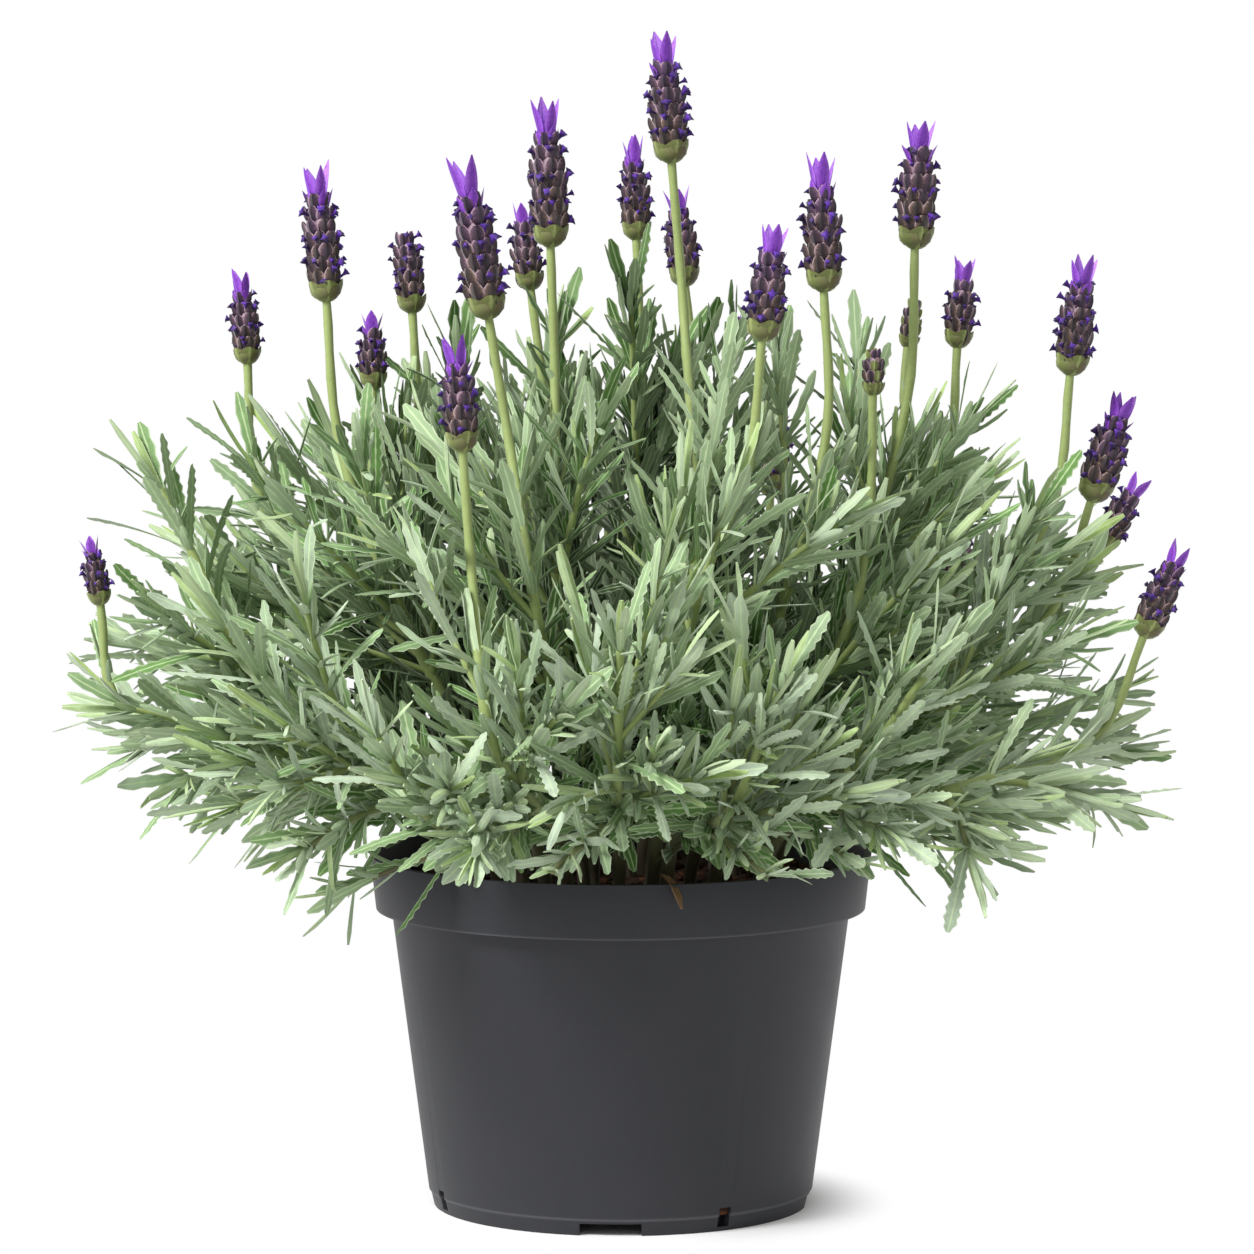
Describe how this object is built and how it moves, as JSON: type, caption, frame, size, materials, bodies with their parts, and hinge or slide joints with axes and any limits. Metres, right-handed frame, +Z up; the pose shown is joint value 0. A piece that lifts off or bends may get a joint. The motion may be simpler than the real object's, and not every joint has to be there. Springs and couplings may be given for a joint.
{
  "type": "potted fringed lavender",
  "caption": "Potted fringed lavender: a low mound of toothed grey-green leafy stems with purple flower heads on tall bare stalks, growing in a round plastic nursery pot with drainage slots.",
  "frame": {"origin": "centre of the flat pad under the pot, on the surface that the pot stands on", "axes": "+Z up along the pot's axis; the picture looks along +Y, so -Y is the plant's front and +X its right"},
  "size_m": [0.4304, 0.378, 0.4433],
  "materials": {
    "pot": "satin",
    "potting_soil": "matte",
    "foliage": "matte",
    "flower_bracts": "matte"
  },
  "bodies": {
    "root": {"pot": "pot", "potting_soil": "potting_soil", "flower_head_01": "flower_bracts", "flower_head_02": "flower_bracts", "flower_head_03": "flower_bracts", "flower_head_04": "flower_bracts", "flower_head_05": "flower_bracts", "flower_head_06": "flower_bracts", "flower_head_07": "flower_bracts", "flower_head_08": "flower_bracts", "flower_head_09": "flower_bracts", "flower_head_10": "flower_bracts", "flower_head_11": "flower_bracts", "flower_head_12": "flower_bracts", "flower_head_13": "flower_bracts", "flower_head_14": "flower_bracts", "flower_head_15": "flower_bracts", "flower_head_16": "flower_bracts", "flower_head_17": "flower_bracts", "flower_head_18": "flower_bracts", "flower_head_19": "flower_bracts", "flower_head_20": "flower_bracts", "flower_head_21": "flower_bracts", "flower_head_22": "flower_bracts", "flower_head_23": "flower_bracts", "flower_head_24": "flower_bracts", "flower_head_25": "flower_bracts", "flower_head_26": "flower_bracts", "leafy_stem_01": "foliage", "leafy_stem_02": "foliage", "leafy_stem_03": "foliage", "leafy_stem_04": "foliage", "leafy_stem_05": "foliage", "leafy_stem_06": "foliage", "leafy_stem_07": "foliage", "leafy_stem_08": "foliage", "leafy_stem_09": "foliage", "leafy_stem_10": "foliage", "leafy_stem_11": "foliage", "leafy_stem_12": "foliage", "leafy_stem_13": "foliage", "leafy_stem_14": "foliage", "leafy_stem_15": "foliage", "leafy_stem_16": "foliage", "leafy_stem_17": "foliage", "leafy_stem_18": "foliage", "leafy_stem_19": "foliage", "leafy_stem_20": "foliage", "leafy_stem_21": "foliage", "leafy_stem_22": "foliage", "leafy_stem_23": "foliage", "leafy_stem_24": "foliage", "leafy_stem_25": "foliage", "leafy_stem_26": "foliage", "leafy_stem_27": "foliage", "leafy_stem_28": "foliage", "leafy_stem_29": "foliage", "leafy_stem_30": "foliage", "leafy_stem_31": "foliage", "leafy_stem_32": "foliage"}
  },
  "joints": []
}
